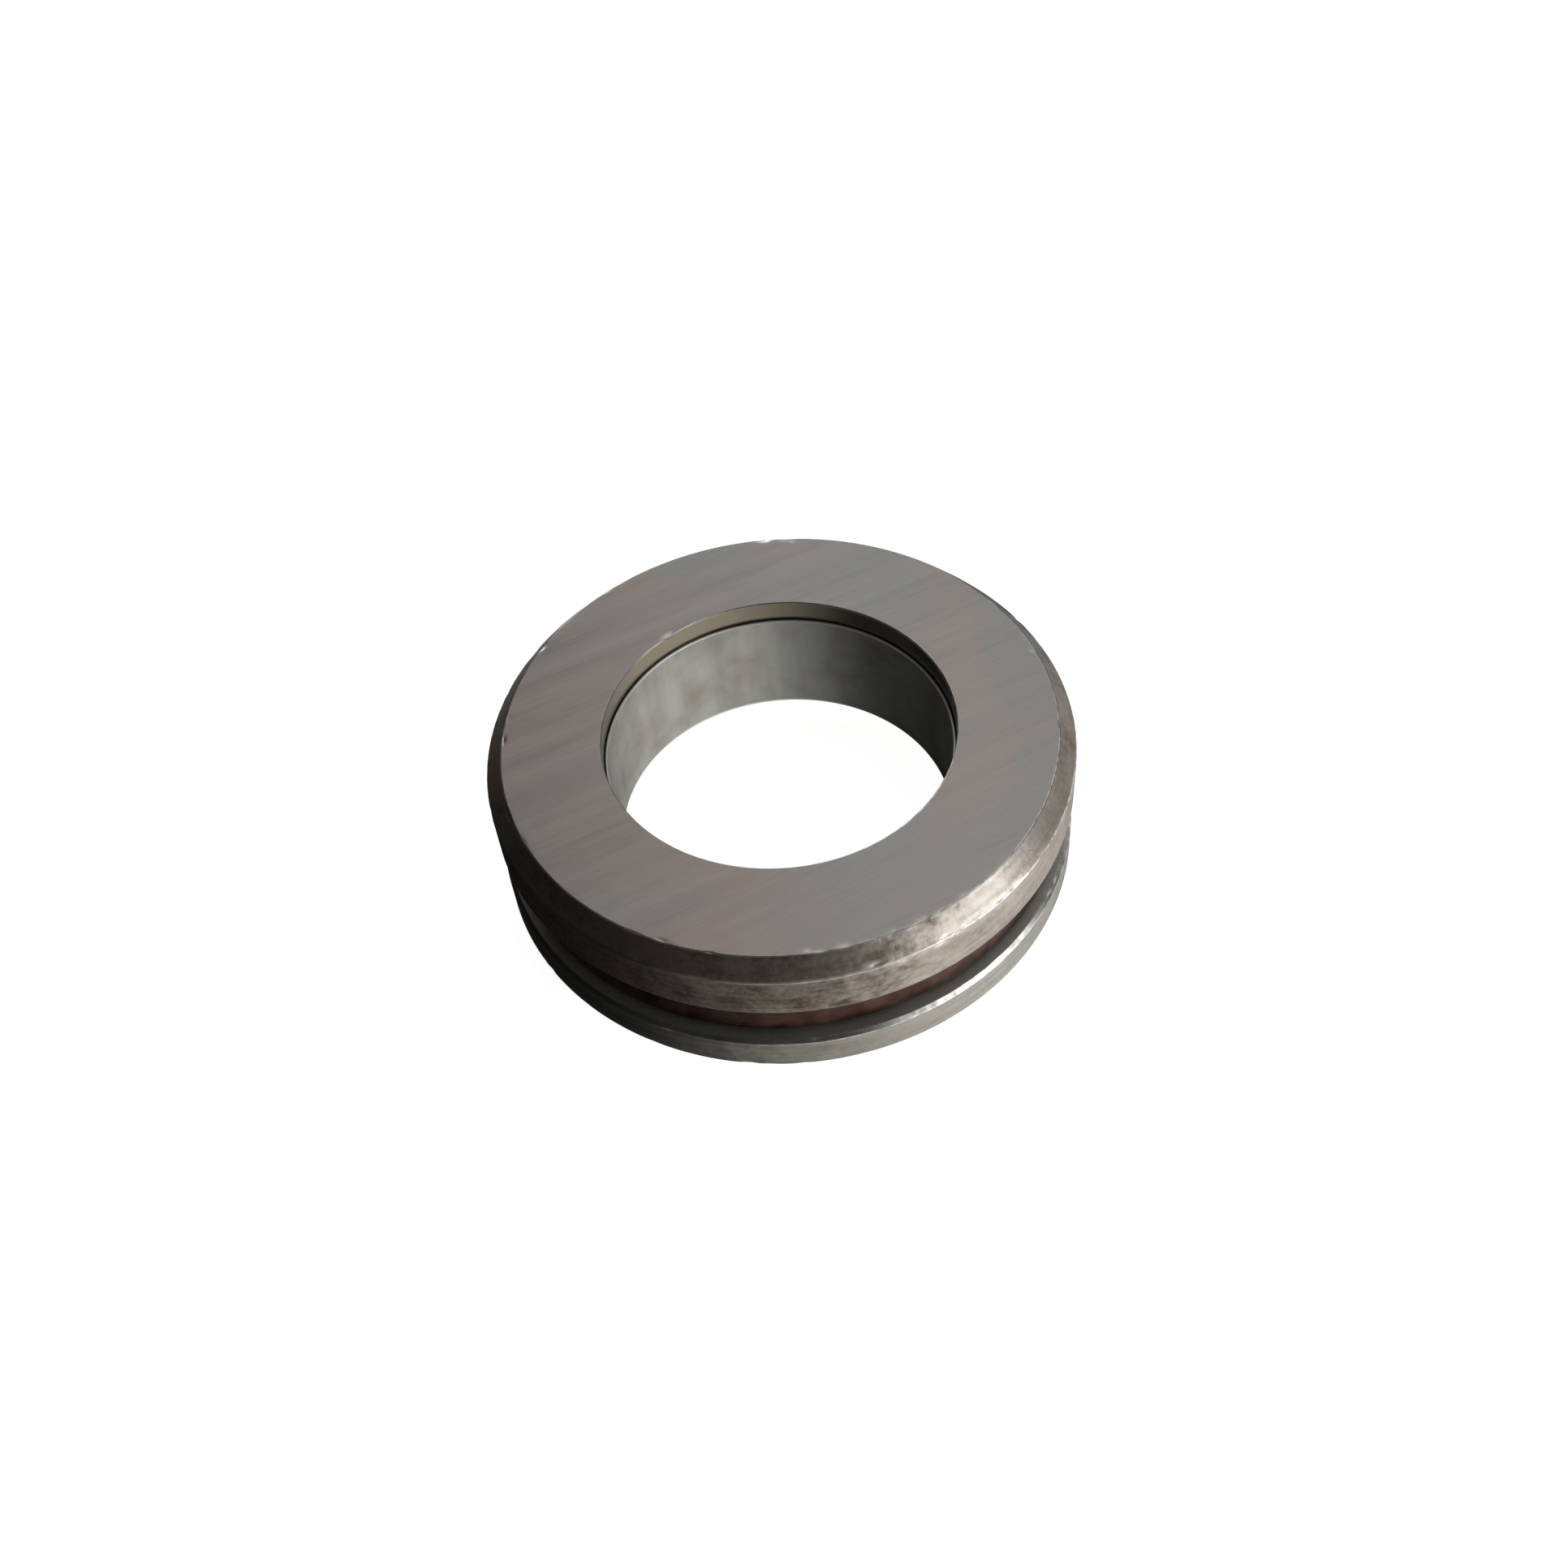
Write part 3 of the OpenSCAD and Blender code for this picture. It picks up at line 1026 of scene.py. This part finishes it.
def polished_steel(name):
    """Ball steel: a mirror finish with a faint dulled film of oil."""
    material, nodes, links = empty_material(name)

    at = nodes.new("ShaderNodeTexCoord")
    at.label = "place on the ball"

    millimetres = nodes.new("ShaderNodeMapping")
    millimetres.label = "in millimetres"
    millimetres.inputs["Scale"].default_value = (1000, 1000, 1000)
    links.new(at.outputs["Object"], millimetres.inputs["Vector"])

    film = nodes.new("ShaderNodeTexNoise")
    film.label = "oil film"
    set_inputs(film, {"Scale": 0.35, "Detail": 4, "Distortion": 1.2})
    links.new(millimetres.outputs["Vector"], film.inputs["Vector"])

    tint = nodes.new("ShaderNodeValToRGB")
    tint.label = "oiled to clean"
    stained, clean = tint.color_ramp.elements
    stained.position = 0.35
    stained.color = (0.42, 0.36, 0.30, 1)
    clean.position = 0.6
    clean.color = (0.66, 0.66, 0.66, 1)
    links.new(film.outputs["Fac"], tint.inputs["Fac"])

    sheen = nodes.new("ShaderNodeMapRange")
    sheen.label = "mirror, duller under oil"
    set_inputs(sheen, {"From Min": 0.35, "From Max": 0.65, "To Min": 0.2, "To Max": 0.08})
    links.new(film.outputs["Fac"], sheen.inputs["Value"])

    steel = nodes.new("ShaderNodeBsdfPrincipled")
    steel.label = "ball steel"
    steel.inputs["Metallic"].default_value = 1
    links.new(tint.outputs["Color"], steel.inputs["Base Color"])
    links.new(sheen.outputs["Result"], steel.inputs["Roughness"])

    surface = nodes.new("ShaderNodeOutputMaterial")
    surface.label = "finished surface"
    links.new(steel.outputs["BSDF"], surface.inputs["Surface"])
    lay_out((None, at, millimetres, film, tint, sheen, steel, surface))
    return material


upper_finish = ground_steel(
    "upper_washer_steel",
    place=(0, 0, 0),
    scaled=1.0,
    warm=(0.49, 0.425, 0.392, 1),
    cool=(0.435, 0.430, 0.410, 1),
)
lower_finish = ground_steel(
    "lower_washer_steel",
    place=(40, 17, 5),
    scaled=0.45,
    warm=(0.43, 0.41, 0.375, 1),
    cool=(0.41, 0.43, 0.395, 1),
)
upper_washer.data.materials.append(upper_finish)
lower_washer.data.materials.append(lower_finish)
sleeve.data.materials.append(drawn_steel("sleeve_steel_drawn"))
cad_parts["cage"].material_slots[0].material = pressed_steel("cage_steel_oiled")
ball_finish = polished_steel("ball_steel_polished")
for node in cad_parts:
    if node.startswith("ball_"):
        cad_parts[node].material_slots[0].material = ball_finish

# ---------------------------------------------------------------- floor and light

# direction, round the axis, that the soft daylight comes from
WINDOW_SIDE = math.radians(-25)
FLOOR_SIZE = 3.0
# the lamp in the bore: how wide it is, how high it lies and its watts
BORE_LAMP_WIDTH = 1.7 * SLEEVE_IN_R
BORE_LAMP_Z = 0.2 * MM
BORE_LAMP_POWER = 0.00006


def pale_floor():
    """Flat square floor, clear from below, seen by the camera but not mirrored in the steel."""
    mesh = bpy.data.meshes.new("floor")
    half = FLOOR_SIZE / 2
    corners = [(-half, -half, 0), (half, -half, 0), (half, half, 0), (-half, half, 0)]
    mesh.from_pydata(corners, [], [(0, 1, 2, 3)])
    floor = put_in_scene("floor", mesh)
    floor.visible_glossy = False
    floor.visible_diffuse = False
    floor.visible_shadow = False

    material, nodes, links = empty_material("floor_white")
    paper = nodes.new("ShaderNodeBsdfDiffuse")
    paper.label = "matt white"
    paper.inputs["Color"].default_value = (0.9, 0.9, 0.9, 1)
    glow = nodes.new("ShaderNodeEmission")
    glow.label = "evenly lit paper"
    glow.inputs["Strength"].default_value = 0.93
    both = nodes.new("ShaderNodeAddShader")
    both.label = "paper that is lit and glows"
    underneath = nodes.new("ShaderNodeNewGeometry")
    underneath.label = "which side is seen"
    clear = nodes.new("ShaderNodeBsdfTransparent")
    clear.label = "nothing there"
    one_sided = nodes.new("ShaderNodeMixShader")
    one_sided.label = "clear from below"
    surface = nodes.new("ShaderNodeOutputMaterial")
    surface.label = "finished surface"
    links.new(paper.outputs["BSDF"], both.inputs[0])
    links.new(glow.outputs["Emission"], both.inputs[1])
    links.new(underneath.outputs["Backfacing"], one_sided.inputs["Fac"])
    links.new(both.outputs["Shader"], one_sided.inputs[1])
    links.new(clear.outputs["BSDF"], one_sided.inputs[2])
    links.new(one_sided.outputs["Shader"], surface.inputs["Surface"])
    lay_out((None, paper, glow, both, underneath, clear, one_sided, surface))
    mesh.materials.append(material)


def soft_light(name, azimuth, elevation, distance, size, strength):
    """Square lamp that faces the bearing, from an angle round the axis and one above the floor.

    azimuth and elevation are in degrees, and strength is in watts.
    """
    turn, rise = math.radians(azimuth), math.radians(elevation)
    towards = Vector((math.cos(rise) * math.cos(turn), math.cos(rise) * math.sin(turn), math.sin(rise)))
    data = bpy.data.lights.new(name, "AREA")
    data.size = size
    data.energy = strength
    lamp = put_in_scene(name, data)
    lamp.location = towards * distance
    lamp.rotation_euler = towards.to_track_quat("Z", "Y").to_euler()


def light_in_bore():
    """Round lamp that lies in the bore and faces up: the light of the white floor on the sleeve."""
    data = bpy.data.lights.new("floor_in_bore", "AREA")
    data.shape = "DISK"
    data.size = BORE_LAMP_WIDTH
    data.energy = BORE_LAMP_POWER
    lamp = put_in_scene("floor_in_bore", data)
    lamp.location = (0, 0, BORE_LAMP_Z)
    lamp.rotation_euler = (math.pi, 0, 0)
    lamp.visible_camera = False


def studio_world():
    """White backdrop; the steel mirrors a dim room with a pale table that is lit from a window side.

    The table's brightness falls from the window side to the opposite one, and fades at the horizon.
    """
    world = bpy.data.worlds.new("studio")
    bpy.context.scene.world = world
    world.use_nodes = True
    nodes = world.node_tree.nodes
    links = world.node_tree.links
    nodes.clear()
    heading = nodes.new("ShaderNodeTexCoord")
    heading.label = "direction"
    parts = nodes.new("ShaderNodeSeparateXYZ")
    parts.label = "height of the direction"
    links.new(heading.outputs["Generated"], parts.inputs["Vector"])

    to_window = nodes.new("ShaderNodeVectorMath")
    to_window.label = "how far towards the window side"
    to_window.operation = "DOT_PRODUCT"
    to_window.inputs[1].default_value = (math.cos(WINDOW_SIDE), math.sin(WINDOW_SIDE), 0)
    links.new(heading.outputs["Generated"], to_window.inputs[0])

    on_right = nodes.new("ShaderNodeMapRange")
    on_right.label = "lighter towards the window"
    set_inputs(on_right, {"From Min": -0.4, "From Max": 0.7})
    links.new(to_window.outputs["Value"], on_right.inputs["Value"])

    falling_off = nodes.new("ShaderNodeMath")
    falling_off.label = "falls off fast"
    falling_off.operation = "POWER"
    falling_off.inputs[1].default_value = 1.35
    links.new(on_right.outputs["Result"], falling_off.inputs[0])

    table_light = nodes.new("ShaderNodeMath")
    table_light.label = "brightness of the table"
    table_light.operation = "MULTIPLY_ADD"
    set_inputs(table_light, {1: 0.95, 2: 0.01})
    links.new(falling_off.outputs["Value"], table_light.inputs[0])

    on_table = nodes.new("ShaderNodeMapRange")
    on_table.label = "table, up to the horizon"
    on_table.interpolation_type = "SMOOTHSTEP"
    set_inputs(on_table, {"From Min": 0.25, "From Max": -0.25})
    links.new(parts.outputs["Z"], on_table.inputs["Value"])

    table = nodes.new("ShaderNodeMath")
    table.label = "pale table"
    table.operation = "MULTIPLY"
    links.new(table_light.outputs["Value"], table.inputs[0])
    links.new(on_table.outputs["Result"], table.inputs[1])

    overhead = nodes.new("ShaderNodeMapRange")
    overhead.label = "dim ceiling"
    overhead.interpolation_type = "SMOOTHSTEP"
    set_inputs(overhead, {"From Min": 0.5, "To Max": 0.1})
    links.new(parts.outputs["Z"], overhead.inputs["Value"])

    room = nodes.new("ShaderNodeMath")
    room.label = "brightness of the room"
    room.operation = "ADD"
    links.new(table.outputs["Value"], room.inputs[0])
    links.new(overhead.outputs["Result"], room.inputs[1])

    mirrored = nodes.new("ShaderNodeBackground")
    mirrored.label = "what the steel mirrors"
    mirrored.inputs["Color"].default_value = (1, 0.97, 0.94, 1)
    links.new(room.outputs["Value"], mirrored.inputs["Strength"])

    seen = nodes.new("ShaderNodeBackground")
    seen.label = "white backdrop"
    seen.inputs["Color"].default_value = (1, 1, 1, 1)

    ray = nodes.new("ShaderNodeLightPath")
    ray.label = "seen straight on or mirrored"
    choice = nodes.new("ShaderNodeMixShader")
    choice.label = "backdrop or room"
    surface = nodes.new("ShaderNodeOutputWorld")
    surface.label = "finished world"
    links.new(ray.outputs["Is Camera Ray"], choice.inputs["Fac"])
    links.new(mirrored.outputs["Background"], choice.inputs[1])
    links.new(seen.outputs["Background"], choice.inputs[2])
    links.new(choice.outputs["Shader"], surface.inputs["Surface"])
    lay_out(
        (None, heading, parts, to_window, on_right, falling_off, table_light, on_table, table, overhead,
         room, mirrored, seen, ray, choice, surface),
    )


pale_floor()
studio_world()
soft_light("key", azimuth=-33, elevation=12, distance=1.0, size=0.8, strength=5.0)
soft_light("back", azimuth=100, elevation=8, distance=1.0, size=0.5, strength=2.4)
soft_light("top", azimuth=60, elevation=60, distance=1.0, size=0.8, strength=1.4)
light_in_bore()
bpy.context.scene.view_settings.view_transform = "Standard"
